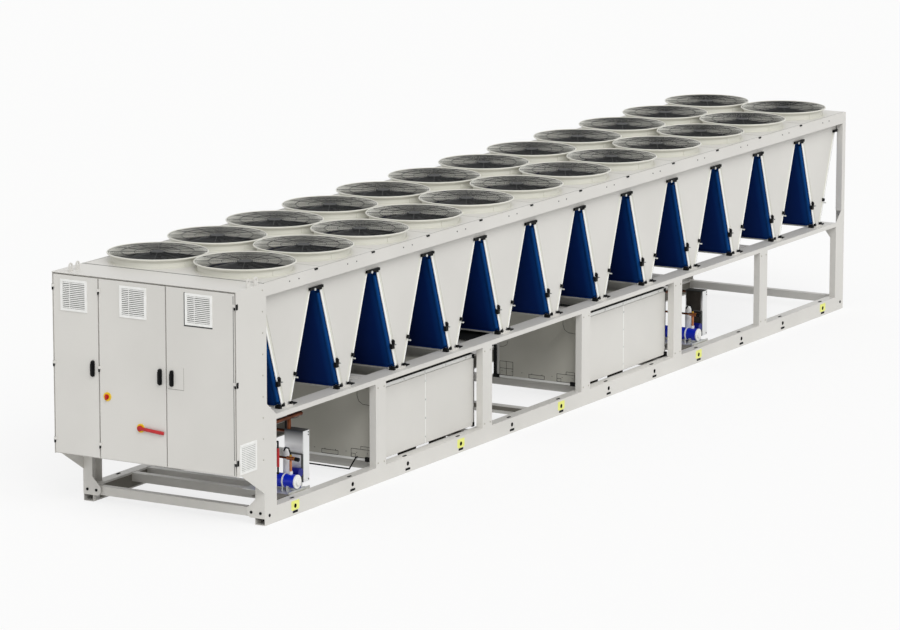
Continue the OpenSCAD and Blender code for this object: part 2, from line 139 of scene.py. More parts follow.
def moulded_plastic(name, light, dark, roughness=0.5, shine=0.5):
    """Injection moulded plastic: even colour with a soft sheen."""
    material, tree, shader = start_finish(name, roughness, ior=1.46)
    shader.inputs["Specular IOR Level"].default_value = shine
    mottled(tree, shader, light, dark, 60)
    return material


def fins_with_painted_shade(name, edge, inner, deep):
    """Epoxy coated fin pack: blue at the open edge and painted darker inwards as shade, nearly black inside,
    with fine upright fin lines.
    Real fins stand 2 mm apart; they are drawn 14 mm apart so that they show."""
    material, tree, shader = start_finish(name, 0.75)
    shader.inputs["Specular IOR Level"].default_value = 0.06
    place = add(tree, "ShaderNodeTexCoord")
    axes = add(tree, "ShaderNodeSeparateXYZ", None, {"Vector": place.outputs["Object"]})
    out = add(tree, "ShaderNodeMath", {"operation": "ABSOLUTE"}, {0: axes.outputs["Y"]})
    # Painted shade: the colour darkens with distance in from the unit's long sides.
    depth = add(tree, "ShaderNodeMapRange", {"From Min": (WALL_Y - 560) * MM, "From Max": WALL_Y * MM},
                {"Value": out.outputs[0]})
    shade = add(tree, "ShaderNodeValToRGB", None, {"Fac": depth.outputs["Result"]})
    shade.color_ramp.elements[0].color = linear(deep)
    shade.color_ramp.elements[1].color = linear(edge)
    shade.color_ramp.elements.new(0.72).color = linear(inner)
    tree.links.new(shade.outputs["Color"], shader.inputs["Base Color"])
    fins = add(tree, "ShaderNodeTexWave", {"wave_type": "BANDS", "bands_direction": "Y",
                                           "Scale": 1 / (14 * MM) * 0.314, "Distortion": 0.0},
               {"Vector": place.outputs["Object"]})
    bump = add(tree, "ShaderNodeBump", {"Strength": 0.25, "Distance": 0.002},
               {"Height": fins.outputs["Fac"]})
    tree.links.new(bump.outputs["Normal"], shader.inputs["Normal"])
    return material


def bare_metal(name, light, dark, roughness, patch_mm):
    """Bare or plated metal with uneven tarnish."""
    material, tree, shader = start_finish(name, roughness, metallic=1.0)
    mottled(tree, shader, light, dark, patch_mm)
    return material


def steel_with_painted_reflection(name, low, high, low_z, high_z):
    """Bright rolled stainless plates, painted darker towards their upper edge as a painted reflection."""
    material, tree, shader = start_finish(name, 0.5, metallic=1.0)
    place = add(tree, "ShaderNodeTexCoord")
    axes = add(tree, "ShaderNodeSeparateXYZ", None, {"Vector": place.outputs["Object"]})
    # Painted reflection: the colour runs from bright low down to dark at the top.
    height = add(tree, "ShaderNodeMapRange", {"From Min": low_z * MM, "From Max": high_z * MM},
                 {"Value": axes.outputs["Z"]})
    shade = add(tree, "ShaderNodeValToRGB", None, {"Fac": height.outputs["Result"]})
    shade.color_ramp.elements[0].color = linear(low)
    shade.color_ramp.elements[1].color = linear(high)
    tree.links.new(shade.outputs["Color"], shader.inputs["Base Color"])
    return material


# Coated sheet, wire and tube: even in colour and half matt, with a soft highlight.
IVORY = powder_coat("ivory_powder_coat", "#d6d4cf", "#d1cfca")
RING_IVORY = powder_coat("ring_powder_coat", "#d8d7ce", "#d3d2c8", 0.4)
GUARD_COAT = powder_coat("guard_wire_coat", "#333434", "#2a2b2b", 0.6, 0.2)
ENCLOSURE_GREY = powder_coat("enclosure_sheet", "#b7b5ab", "#afada2", 0.5)
FAN_BLACK = powder_coat("satin_black_coat", "#131315", "#0f0f11", 0.6, 0.15)
BLADE_GREY = powder_coat("satin_grey_blade_coat", "#35363a", "#2d2e31", 0.42, 0.4)
# CHANNEL_SHADE is painted shade: the grey of sheet that lies in shade inside channels and under the trays.
CHANNEL_SHADE = powder_coat("painted_channel_shade", "#7d7a72", "#747169", 0.6, 0.2)
# BEAD_WHITE_HIGHLIGHT is brighter than CAP_WHITE: a painted highlight on beads turned towards the light.
BEAD_WHITE_HIGHLIGHT = powder_coat("white_bead_painted_highlight", "#fafaf8", "#f3f3f0", 0.35)
PALE_ZINC = powder_coat("pale_zinc_plate", "#e6e7e7", "#dfe0e0", 0.4)
# Enamel and epoxy: deeper colour, glossy on the driers and caps, dull on the tubes.
HEADER_BLUE = powder_coat("blue_epoxy_tube", "#0b4686", "#093b76", 0.75, 0.08)
DRIER_BLUE = powder_coat("cobalt_enamel", "#0a2bc8", "#0824b0", 0.3)
# NAVY_PAINTED_SHADE is the drier blue darkened as painted shade, for the cylinder that stands in shadow
# behind the drier.
NAVY_PAINTED_SHADE = powder_coat("navy_enamel_painted_shade", "#0b1480", "#091070", 0.4, 0.3)
CAP_WHITE = powder_coat("white_enamel", "#efefec", "#e6e6e2", 0.35)
# Mouldings and vinyl: smooth, with a soft sheen on the switches and almost none on black nylon.
VENT_WHITE = moulded_plastic("vent_abs", "#efefed", "#e7e7e4")
BLACK_PLASTIC = moulded_plastic("black_nylon", "#121314", "#0d0e0f", 0.6, 0.15)
SAFETY_RED = moulded_plastic("red_polycarbonate", "#b81a20", "#aa161c", 0.35)
SAFETY_YELLOW = moulded_plastic("yellow_polycarbonate", "#ecc81e", "#e2bd16", 0.35)
MARK_YELLOW = moulded_plastic("yellow_vinyl", "#e9ec86", "#e2e579", 0.5)
# Felt, foam and rubber: flat, with no highlight; they read as shade in seams and openings.
FILTER_FELT = moulded_plastic("grey_filter_felt", "#757674", "#656664", 0.9)
PALE_FELT = moulded_plastic("pale_filter_felt", "#b4b5b2", "#a8a9a6", 0.9)
FOAM_BLACK = moulded_plastic("black_rubber_foam", "#1a1b1b", "#131414", 0.9, 0.1)
# BROWN_FOAM_AND_SHADE is the brown foam sheet on the rear exchanger and also painted shade under the trays
# and under the enclosures.
BROWN_FOAM_AND_SHADE = moulded_plastic("brown_foam_and_painted_shade", "#3b3733", "#332f2b", 0.9, 0.1)
# DARK_DETAIL_AND_SHADOW is the dark of seams, rivets, ribs and scored lines, and also painted shadow beside
# the coil beads and round the right door's vent.
DARK_DETAIL_AND_SHADOW = moulded_plastic("dark_detail_and_painted_shadow", "#4a4b4a", "#3f403f", 0.8)
# GREY_TRIM_AND_SHADOW is the grey of the deck joints and coil lips, and also a painted shadow round the
# display hatch.
GREY_TRIM_AND_SHADOW = moulded_plastic("grey_trim_and_painted_shadow", "#a3a29d", "#9a9994", 0.8)
# Fin packs: deep blue, painted darker inwards as shade until nearly black inside the V.
COIL_NAVY_PAINTED_SHADE = fins_with_painted_shade("navy_fins_painted_shade", "#0d4a94", "#04225c", "#020a2c")
# Bare metal: brown or golden with patchy tarnish, pale on zinc, and on the pressed plates bright low down and
# dark towards the top as a painted reflection.
COPPER = bare_metal("dull_copper_tube", "#7d4a31", "#5b3220", 0.45, 120)
BRIGHT_COPPER = bare_metal("new_copper_tube", "#c98660", "#b06f4b", 0.4, 60)
BRASS = bare_metal("forged_brass", "#c9a24a", "#ad8636", 0.4, 60)
PLATE_STEEL_PAINTED_REFLECTION = steel_with_painted_reflection("stainless_painted_reflection", "#f4f5f6", "#33373d", 610, 752)
ZINC = bare_metal("zinc_sheet", "#e2e3e1", "#cfd1cf", 0.55, 90)

NODE_FINISH = {
    IVORY: "base_rails base_cross_members front_corner_posts front_gusset_plates side_posts "
           "rear_corner_posts mid_beams mid_cross_beams v_feet v_panels fan_deck "
           "deck_fascias cabinet_shell cabinet_brackets door_left door_middle door_right "
           "display_hatch lifting_eyes enclosure_doors",
    RING_IVORY: "fan_diffusers coil_end_plates",
    GUARD_COAT: "fan_guards_right fan_guards_left",
    VENT_WHITE: "vent_left vent_middle vent_right side_vents",
    COIL_NAVY_PAINTED_SHADE: "condenser_coils",
    HEADER_BLUE: "coil_headers",
    BLACK_PLASTIC: "coil_clips handle_left handle_middle handle_right door_hinges enclosure_feet",
    FAN_BLACK: "fan_motors fan_rotors",
    SAFETY_YELLOW: "switch_bosses",
    SAFETY_RED: "switch_lever stop_button",
    ENCLOSURE_GREY: "compressor_enclosures",
    ZINC: "equipment_trays",
    PLATE_STEEL_PAINTED_REFLECTION: "heat_exchangers",
    DRIER_BLUE: "filter_driers",
    CAP_WHITE: "drier_caps",
    COPPER: "copper_pipes",
}
for finish, names in NODE_FINISH.items():
    for name in names.split():
        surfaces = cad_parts[name].data.materials
        surfaces.clear()
        surfaces.append(finish)


# Small fittings


class Fittings:
    """Collects like small fittings into one mesh."""

    def __init__(self):
        self.mesh = bmesh.new()

    def block(self, low, high, turn=None):
        """A box between two drawing corners, turned about its middle if asked."""
        a, b = at(*low), at(*high)
        size = b - a
        place = Matrix.Translation((a + b) / 2)
        if turn:
            place = place @ turn
        bmesh.ops.create_cube(self.mesh, size=1.0, matrix=place @ Matrix.Diagonal((*size, 1.0)))

    def rod(self, start, end, radius, sides=12):
        """A round bar between two drawing points."""
        a, b = at(*start), at(*end)
        along = b - a
        place = Matrix.Translation((a + b) / 2) @ along.to_track_quat("Z", "Y").to_matrix().to_4x4()
        bmesh.ops.create_cone(self.mesh, cap_ends=True, segments=sides, radius1=radius * MM,
                              radius2=radius * MM, depth=along.length, matrix=place)

    def blade(self, hub, turn, spans=7, chords=5):
        """One fan blade: a thin twisted sheet that drops and sweeps back from the hub to the tip."""
        root, tip, thick, crown = 76, 456, 5, 8
        layers = ([], [])
        for n in range(spans):
            share = n / (spans - 1)
            radius = root + (tip - root) * share
            lead = turn - 24 * share
            wide = 52 - 8 * share
            twist = 40 - 14 * share
            drop = 34 + 82 * share
            for j in range(chords):
                along = j / (chords - 1) - 0.5
                angle = math.radians(lead + wide * along)
                level = -drop - twist * along + crown * (0.25 - along * along)
                for layer, lift in zip(layers, (0, -thick)):
                    layer.append(self.mesh.verts.new(at(hub[0] + radius * math.cos(angle),
                                                        hub[1] + radius * math.sin(angle),
                                                        hub[2] + level + lift)))
        top, under = layers
        rim = list(range(chords)) + [n * chords + chords - 1 for n in range(1, spans)]
        rim += [(spans - 1) * chords + j for j in range(chords - 2, -1, -1)]
        rim += [n * chords for n in range(spans - 2, 0, -1)]
        for n in range(spans - 1):
            for j in range(chords - 1):
                a = n * chords + j
                quad = (a, a + 1, a + chords + 1, a + chords)
                self.mesh.faces.new([top[k] for k in quad])
                self.mesh.faces.new([under[k] for k in reversed(quad)])
        for a, b in zip(rim, rim[1:] + rim[:1]):
            self.mesh.faces.new((top[a], under[a], under[b], top[b]))

    def hoop(self, x, y, z, radius, wire, turns):
        """A level ring of four-sided wire."""
        middle = at(x, y, z)
        rows = []
        for k in range(turns):
            angle = 2 * math.pi * k / turns
            out = Vector((math.cos(angle), math.sin(angle), 0))
            corners = ((0, wire), (-wire, 0), (0, -wire), (wire, 0))
            rows.append([self.mesh.verts.new(middle + out * ((radius + r) * MM) + Vector((0, 0, h * MM)))
                         for r, h in corners])
        for k in range(turns):
            here, there = rows[k], rows[(k + 1) % turns]
            for j in range(4):
                n = (j + 1) % 4
                self.mesh.faces.new((here[j], there[j], there[n], here[n]))

    def bar(self, start, end, wide, thick):
        """A flat bar between two points of one upright XZ plane, thick along Y."""
        a, b = at(*start), at(*end)
        along = (b - a).normalized()
        across = Vector((0, 1, 0))
        turn = Matrix((along, across, along.cross(across))).transposed().to_4x4()
        size = ((b - a).length, thick * MM, wide * MM, 1.0)
        bmesh.ops.create_cube(self.mesh, size=1.0,
                              matrix=Matrix.Translation((a + b) / 2) @ turn @ Matrix.Diagonal(size))

    def ball(self, middle, radius):
        bmesh.ops.create_uvsphere(self.mesh, u_segments=16, v_segments=10, radius=radius * MM,
                                  matrix=Matrix.Translation(at(*middle)))

    def run(self, points, radius, sides=10):
        """A round line through drawing points, with ball corners."""
        for start, end in zip(points, points[1:]):
            self.rod(start, end, radius, sides)
        for point in points[1:-1]:
            self.ball(point, radius)

    def ring(self, middle, inner, outer, proud, sides=20):
        """A flat ring on an upright face, proud of it along Y."""
        x, y, z = middle
        rows = []
        for k in range(sides):
            c, s = math.cos(2 * math.pi * k / sides), math.sin(2 * math.pi * k / sides)
            rows.append([self.mesh.verts.new(at(x + r * c, y + lift, z + r * s))
                         for r, lift in ((inner, 0), (inner, proud), (outer, proud), (outer, 0))])
        for k in range(sides):
            here, there = rows[k], rows[(k + 1) % sides]
            for j in range(4):
                n = (j + 1) % 4
                self.mesh.faces.new((here[j], there[j], there[n], here[n]))

    def plate(self, low, high, hole, sides=24):
        """An upright plate facing Y, thin, with a round hole of the given (x, z, radius)."""
        (x0, y0, z0), (x1, y1, z1) = low, high
        hx, hz, hr = hole
        rims = []
        for y in (y0, y1):
            outer, inner = [], []
            for k in range(sides):
                angle = 2 * math.pi * (k + 0.5) / sides
                c, s = math.cos(angle), math.sin(angle)
                reach = min(((x1 if c > 0 else x0) - hx) / c, ((z1 if s > 0 else z0) - hz) / s)
                outer.append(self.mesh.verts.new(at(hx + reach * c, y, hz + reach * s)))
                inner.append(self.mesh.verts.new(at(hx + hr * c, y, hz + hr * s)))
            rims.append((outer, inner))
        (o0, i0), (o1, i1) = rims
        for k in range(sides):
            n = (k + 1) % sides
            for quad in ((o0[k], o0[n], i0[n], i0[k]), (o1[n], o1[k], i1[k], i1[n]),
                         (o0[n], o0[k], o1[k], o1[n]), (i0[k], i0[n], i1[n], i1[k])):
                self.mesh.faces.new(quad)

    def fit(self, name, finish, body="chassis", slot="paint"):
        """Makes the object, rounds its curved faces, paints it and lets it ride on a body."""
        bmesh.ops.recalc_face_normals(self.mesh, faces=self.mesh.faces)
        data = bpy.data.meshes.new(name)
        self.mesh.to_mesh(data)
        self.mesh.free()
        data.shade_smooth()
        data.set_sharp_from_angle(angle=math.radians(50))
        data.materials.append(finish)
        piece = bpy.data.objects.new(name, data)
        bpy.context.scene.collection.objects.link(piece)
        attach(piece, body)
        return piece


def across(side, inner, outer):
    """The lower and the higher y between two distances from the middle line, on one side."""
    return sorted((side * inner, side * outer))


def guard_wires():
    """Fine hoops between the guard's main rings, and the rolled rim of each fan ring round them."""
    first, last, step, wire = 100, 500, 20, 1.4
    rim_wire = 8
    for label, side in FAN_ROWS:
        wires = Fittings()
        for i in range(MODULES):
            for radius in range(first, last + 1, step):
                wires.hoop(module_middle(i), side * FAN_Y, GUARD_Z + 2.5, radius, wire, 64)
        wires.fit(f"guard_hoops_{label}", GUARD_COAT, slot="guard_wire")
    rims = Fittings()
    for i in range(MODULES):
        for side in SIDES:
            rims.hoop(module_middle(i), side * FAN_Y, GUARD_Z + 2, LIP_R - 5, rim_wire, 72)
    rims.fit("ring_rims", RING_IVORY, slot="ring_paint")


def fan_blades():
    """Swept blades on each motor's turning case, close under the guard, so the opening looks dark."""
    count = 7
    for label, side in FAN_ROWS:
        blades = Fittings()
        for i in range(MODULES):
            for k in range(count):
                blades.blade((module_middle(i), side * FAN_Y, GUARD_Z), 360 * k / count)
        blades.fit(f"fan_blades_{label}", BLADE_GREY, slot="fan_black")


def ring_seams():
    """The two lapped upright joints on each fan ring."""
    radius, half_wide, half_thick = RING_R + 2, 17, 3
    low_z, high_z = DECK_Z + 5, DECK_Z + 56
    laps = Fittings()
    for i in range(MODULES):
        for side in SIDES:
            for angle in (250, 70):
                turn = math.radians(angle)
                x = module_middle(i) + radius * math.cos(turn)
                y = side * FAN_Y + radius * math.sin(turn)
                laps.block((x - half_thick, y - half_wide, low_z), (x + half_thick, y + half_wide, high_z),
                           Matrix.Rotation(turn, 4, "Z"))
    laps.fit("ring_laps", RING_IVORY, slot="ring_paint")


def fascia_rivets():
    """A pair of rivet heads over each module on both long sides."""
    proud, radius, z = 4, 7, DECK_Z - 51
    rivets = Fittings()
    for i in range(MODULES):
        for x in (module_middle(i) - 70, module_middle(i) + 105):
            for side in SIDES:
                rivets.rod((x, side * HALF, z), (x, side * (HALF + proud), z), radius, 8)
    rivets.fit("fascia_rivets", DARK_DETAIL_AND_SHADOW, slot="black_plastic")


def deck_tabs():
    """Black tabs where the deck meets the fascia, and the joints between the deck plates."""
    tabs, joints = Fittings(), Fittings()
    joint_z = DECK_Z + 1
    for side in SIDES:
        joint_y = side * (HALF - 24)
        joints.block((32, joint_y - 3, DECK_Z), (FRAME_LEN - 6, joint_y + 3, joint_z))
        for i in range(1, MODULES):
            x = i * MODULE - 123
            tabs.block((x - 28, side * HALF - 7, DECK_Z - 14), (x + 28, side * HALF + 7, DECK_Z + 3))
    for i in range(1, MODULES):
        joints.block((i * MODULE - 2, -HALF + 30, DECK_Z), (i * MODULE + 2, HALF - 30, joint_z))
    tabs.fit("deck_tabs", BLACK_PLASTIC, slot="black_plastic")
    joints.fit("deck_joints", GREY_TRIM_AND_SHADOW)


def hole_marks():
    """Yellow squares round the lifting holes meant for slings; in all of them a black sleeve, with a black
    slot under it and a black pad on the rail over it."""
    first_x, hole_z = 562, 95
    sling_holes = (0, 3, 5, 8, 11)
    marks, liners = Fittings(), Fittings()
    for n in range(MODULES):
        x = first_x + n * MODULE
        for side in SIDES:
            if n in sling_holes:
                marks.plate((x - 76, side * HALF, 52), (x + 76, side * (HALF + 0.8), 150), (x, hole_z, 21))
            liners.ring((x, side * (HALF + 2), hole_z), 18.5, 23, -side * 36)
            y = across(side, HALF, HALF + 1)
            liners.block((x - 48, y[0], 24), (x + 48, y[1], 47))
            y = across(side, HALF - 50, HALF - 30)
            liners.block((x - 30, y[0], RAIL_H), (x + 30, y[1], RAIL_H + 6))
    marks.fit("lifting_marks", MARK_YELLOW, slot="yellow_plastic")
    liners.fit("hole_liners", BLACK_PLASTIC, slot="black_plastic")


def vent_filters():
    """Grey felt behind each louvred vent of the doors, with slanted dark ribs over its outer half."""
    inset, rib_step, rib_r = 20, 24, 4
    rib_x = DOOR_X + 1
    for label in DOORS:
        low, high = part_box(f"vent_{label}")
        y0, y1 = low[1] / MM + inset, high[1] / MM - inset
        z0, z1 = low[2] / MM + inset, high[2] / MM - inset
        felt, ribs = Fittings(), Fittings()
        felt.block((DOOR_X + 5, y0, z0), (DOOR_X + 12, y1, z1))
        felt.fit(f"filter_{label}", FILTER_FELT, f"door_{label}_body", "vent_plastic")
        half_y = y1 - (y0 + y1) / 2
        for start in range(round(z0 - half_y) + 14, round(z1), rib_step):
            near = max(0, z0 - start)
            far = min(half_y, z1 - start)
            ribs.rod((rib_x, y1 - near, start + near), (rib_x, y1 - far, start + far), rib_r, 6)
        ribs.fit(f"filter_ribs_{label}", DARK_DETAIL_AND_SHADOW, f"door_{label}_body", "vent_plastic")


def side_vent_felt():
    """Pale felt between the slats of the side vents."""
    inset = 20
    low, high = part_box("side_vents")
    x0, x1 = (low[0] - FRONT_X) / MM + inset, (high[0] - FRONT_X) / MM - inset
    felt = Fittings()
    for side in SIDES:
        y = across(side, HALF, HALF + 1)
        felt.block((x0, y[0], low[2] / MM + inset), (x1, y[1], high[2] / MM - inset))
    felt.fit("side_vent_felt", PALE_FELT, slot="vent_plastic")


def enclosure_trim():
    """On each compressor enclosure: pale strips, black corner pieces, screws, the plain leaves of the far
    face, and under the doors a dark gasket and the props that stand on the floor, their dark brown a painted
    shade."""
    strips, corners, screws, leaves, props = Fittings(), Fittings(), Fittings(), Fittings(), Fittings()
    near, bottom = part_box("enclosure_doors")[0][1] / MM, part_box("enclosure_doors")[0][2] / MM
    far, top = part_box("compressor_enclosures")[1][1] / MM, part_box("compressor_enclosures")[1][2] / MM
    deep, leaf_top, corner_top, corner_wide = near + 36, top - 45, top - 12, 34
    for x in ENCLOSURE_X:
        end, middle = x + ENCLOSURE_LEN, x + ENCLOSURE_LEN / 2
        strips.block((x + 4, near + 8, top - 42), (end - 4, deep, top - 6))
        strips.block((middle - 8, near + 1, bottom), (middle + 8, deep, leaf_top))
        strips.block((x - 4, near + 60, 184), (x + 2, far, 207))
        corners.block((x + 10, near + 12, top - 5), (end - 10, deep, top + 4))
        corners.block((end - 7, near + 6, bottom), (end + 18, deep, corner_top))
        corners.block((x - 6, near + 56, 176), (x + 20, near + 128, 224))
        corners.block((x - 6, far - 4, 176), (x + 20, far + 80, 216))
        for left in (x - 4, end - 30):
            right = left + corner_wide
            corners.block((left, near - 6, bottom - 14), (right, deep, bottom + 34))
            corners.block((left, near - 6, top - 52), (right, deep, corner_top))
        for left in (x - 3, end - 31):
            right = left + corner_wide
            corners.block((left, far + 36, bottom - 12), (right, far + 74, 548))
            corners.block((left, far + 36, 575), (right, far + 74, corner_top))
        for left, right in ((x, middle), (middle, end)):
            leaves.block((left + 8, far, bottom), (right - 8, far + 36, leaf_top))
        props.block((x + 30, near + 4, bottom - 3), (end - 30, near + 34, bottom))
        for k in range(4):
            z = bottom + 70 + k * (top - bottom - 190) / 3
            screws.rod((middle, near + 1, z), (middle, near - 5, z), 10, 8)
        for k in range(5):
            lid_x = x + 160 + k * (ENCLOSURE_LEN - 320) / 4
            screws.rod((lid_x, near + 8, top - 24), (lid_x, near + 2, top - 24), 10, 8)
    # Painted shade: these dark props stand where cross members lie in shadow under the enclosures.
    for left, right in ((2900, 3180), (3540, 3800), (7020, 7180), (7510, 7770), (8610, 8850)):
        props.block((left, near + 30, 0), (right, near + 90, bottom + 10))
    strips.fit("enclosure_strips", CAP_WHITE)
    corners.fit("enclosure_corners", BLACK_PLASTIC, slot="black_plastic")
    screws.fit("enclosure_screws", ZINC, slot="tray_zinc")
    leaves.fit("enclosure_far_leaves", IVORY)
    props.fit("enclosure_props_painted_shade", BROWN_FOAM_AND_SHADE, slot="black_plastic")


def knock_outs():
    """Scored outlines of the cut-outs on the enclosures' ends, and the rivets in two rows there."""
    score, rivet_r = 2.5, 5
    lines = Fittings()
    frames = ((-910, -682, 212, 300), (-910, -800, 300, 332), (-734, -684, 212, 248), (-112, 58, 212, 371),
              (-112, -27, 212, 371), (-112, 58, 212, 291), (-521, -320, 212, 254))
    arcs = (((-757, 935), (-757, 868), (-778, 812), (-825, 784), (-918, 778)),
            ((60, 537), (13, 542), (-33, 564), (-46, 608)))
    for x in ENCLOSURE_X:
        for y0, y1, z0, z1 in frames:
            outline = ((y0, z0), (y1, z0), (y1, z1), (y0, z1), (y0, z0))
            lines.run([(x - 1, y, z) for y, z in outline], score, 4)
        for arc in arcs:
            lines.run([(x - 1, y, z) for y, z in arc], score, 4)
        for y in range(-880, 50, 130):
            for z in (262, 962):
                lines.rod((x, y, z), (x - 2, y, z), rivet_r, 6)
    lines.fit("enclosure_scores", DARK_DETAIL_AND_SHADOW, slot="black_plastic")


def relief_valve(lines):
    """The red valve of the front set; its two thin lines join the others."""
    x, y, low_z, high_z = 720, -795, 430, 622
    line_r = 10
    valve = Fittings()
    valve.rod((x, y, low_z), (x, y, high_z), 15, 16)
    valve.fit("relief_valve", SAFETY_RED, slot="red_plastic")
    lines.run(((x, y, low_z), (x, y, 360), (760, -560, 345), (800, -520, 300)), line_r)
    lines.run(((x, y, high_z), (x, y, 690), (640, -740, 700)), line_r)


def drier_sets():
    """Valves, straps, covers and small lines round each drier and heat exchanger, and the front set's
    feed line."""
    valve_y, valve_z, drier_z, plates_y = -870, 503, 266, -906
    for label, x in SETS:
        brass, black, pale, navy = Fittings(), Fittings(), Fittings(), Fittings()
        dark, copper, zinc, blue = Fittings(), Fittings(), Fittings(), Fittings()
        if label == "front":
            relief_valve(black)
        drier_x, cylinder_x = x + 841, x + 972
        copper.rod((drier_x, valve_y, 366), (drier_x, valve_y, 480), 14, 16)
        copper.rod((drier_x, -912, valve_z), (drier_x, -828, valve_z), 20, 20)
        pale.rod((drier_x, valve_y, 334), (drier_x, valve_y, 368), 21, 20)
        brass.rod((drier_x, valve_y, valve_z), (drier_x, valve_y, 540), 13, 12)
        brass.rod((drier_x, -912, valve_z), (drier_x, -924, valve_z), 15, 6)
        black.rod((drier_x, -924, 500), (drier_x, -968, 496), 21, 16)
        black.run(((drier_x, -872, 538), (drier_x, -846, 604), (drier_x, -808, 606), (x + 880, -765, 560)), 8)
        for y in (-808, -622):
            pale.rod((drier_x, y - 9, drier_z), (drier_x, y + 9, drier_z), 75, 40)
            for leg_x in (drier_x - 66, drier_x + 66):
                zinc.rod((leg_x, y, TRAY_Z), (leg_x, y, 262), 7, 8)
        blue.rod((drier_x, -561, drier_z), (drier_x, -440, drier_z), 70, 40)
        pale.rod((x + 930, -765, TRAY_Z), (x + 930, -765, 553), 37, 24)
        pale.ball((x + 930, -765, 553), 37)
        # Painted shade: this cylinder is navy, darker than the drier blue, for the shadow it stands in.
        navy.rod((cylinder_x, -905, 330), (cylinder_x, -750, 330), 46, 32)
        for y in (-890, -790):
            navy.block((cylinder_x - 26, y, TRAY_Z), (cylinder_x + 26, y + 24, 290))
        pale.block((x + 1027, plates_y, 219), (x + 1138, plates_y + 6, 748))
        for z in (240, 700, 728):
            black.rod((x + 1120, plates_y, z), (x + 1120, plates_y - 3, z), 8, 8)
        dark.block((x + 1025, plates_y, 750), (x + 1140, -682, 754))
        dark.block((x + 1021, -904, 219), (x + 1026, -890, 512))
        dark.run(((x + 1012, -700, 512), (x + 1012, -896, 512), (x + 1012, -896, 240)), 9)
        brass.fit(f"valve_stems_{label}", BRASS, slot="copper")
        copper.fit(f"valve_bodies_{label}", BRIGHT_COPPER, slot="copper")
        black.fit(f"valve_caps_{label}", BLACK_PLASTIC, slot="black_plastic")
        pale.fit(f"straps_and_covers_{label}", PALE_ZINC, slot="tray_zinc")
        zinc.fit(f"strap_legs_{label}", ZINC, slot="tray_zinc")
        navy.fit(f"oil_cylinder_{label}", NAVY_PAINTED_SHADE, slot="drier_blue")
        blue.fit(f"drier_tail_{label}", DRIER_BLUE, slot="drier_blue")
        dark.fit(f"exchanger_edges_{label}", DARK_DETAIL_AND_SHADOW, slot="black_plastic")
    feed = Fittings()
    feed.run(((1140, -700, 186), (1200, -660, 124), (1500, -280, 120), (2155, -262, 120), (2146, -760, 120),
              (2280, -757, 214), (2310, -757, 214)), 8)
    feed.fit("feed_line", BLACK_PLASTIC, slot="black_plastic")


def tray_edges():
    """The front flange of each equipment tray, its left end coloured as painted shade, and a dark block of
    painted shade for the shaded beam under that end.
    """
    flanges, ends, beams = Fittings(), Fittings(), Fittings()
    y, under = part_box("equipment_trays")[0][1] / MM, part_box("equipment_trays")[0][2] / MM
    top = under + 6
    for _, x in SETS:
        flanges.block((x + 690, y - 4, top - 54), (x + 1056, y, top + 2))
        # Painted shade: the left end and the dark block under it are coloured as the shade under the tray.
        ends.block((x + 430, y, under), (x + 661, y + 300, top))
        beams.block((x + 430, y + 4, top - 60), (x + 690, y + 44, under))
    flanges.fit("tray_flanges", ENCLOSURE_GREY, slot="tray_zinc")
    ends.fit("tray_end_painted_shade", CHANNEL_SHADE, slot="tray_zinc")
    beams.fit("tray_beam_painted_shade", BROWN_FOAM_AND_SHADE, slot="black_plastic")


def slant_beads():
    """A white bead, brightened as a painted highlight, along each outer edge of the coils' end plates, a dark
    line of painted shadow beside the right-hand one, and the bolts and wedges of the upper clips."""
    beads, bolts, wedges, shadow_strips = Fittings(), Fittings(), Fittings(), Fittings()
    foot, top = 70, 448
    low_z, high_z, bolt_z = BEAM_Z + 22, 2222, 2226
    for side in SIDES:
        y = side * (WALL_Y - 1)
        clip_y = across(side, WALL_Y, WALL_Y + 24)
        for i in range(MODULES):
            middle = module_middle(i)
            for slant in SIDES:
                shift = 6 if slant < 0 else 0
                low = (middle + slant * foot - shift, y, low_z)
                high = (middle + slant * top - shift, y, high_z)
                beads.bar(low, high, 12 + 2 * shift, 8)
            # Painted shadow: a dark line beside each right-hand bead.
            shadow_strips.bar((middle + foot + 9, y, low_z), (middle + top + 9, y, high_z), 6, 6)
        for i in range(1, MODULES):
            x = i * MODULE
            bolts.rod((x - 42, side * (WALL_Y + 24), bolt_z), (x - 42, side * (WALL_Y + 32), bolt_z), 15, 10)
            wedges.block((x + 40, clip_y[0], 2206), (x + 96, clip_y[1], 2240))
    beads.fit("slant_beads", BEAD_WHITE_HIGHLIGHT)
    shadow_strips.fit("bead_painted_shadows", DARK_DETAIL_AND_SHADOW, slot="black_plastic")
    bolts.fit("clip_bolts", ZINC, slot="tray_zinc")
    wedges.fit("clip_wedges", BLACK_PLASTIC, slot="black_plastic")


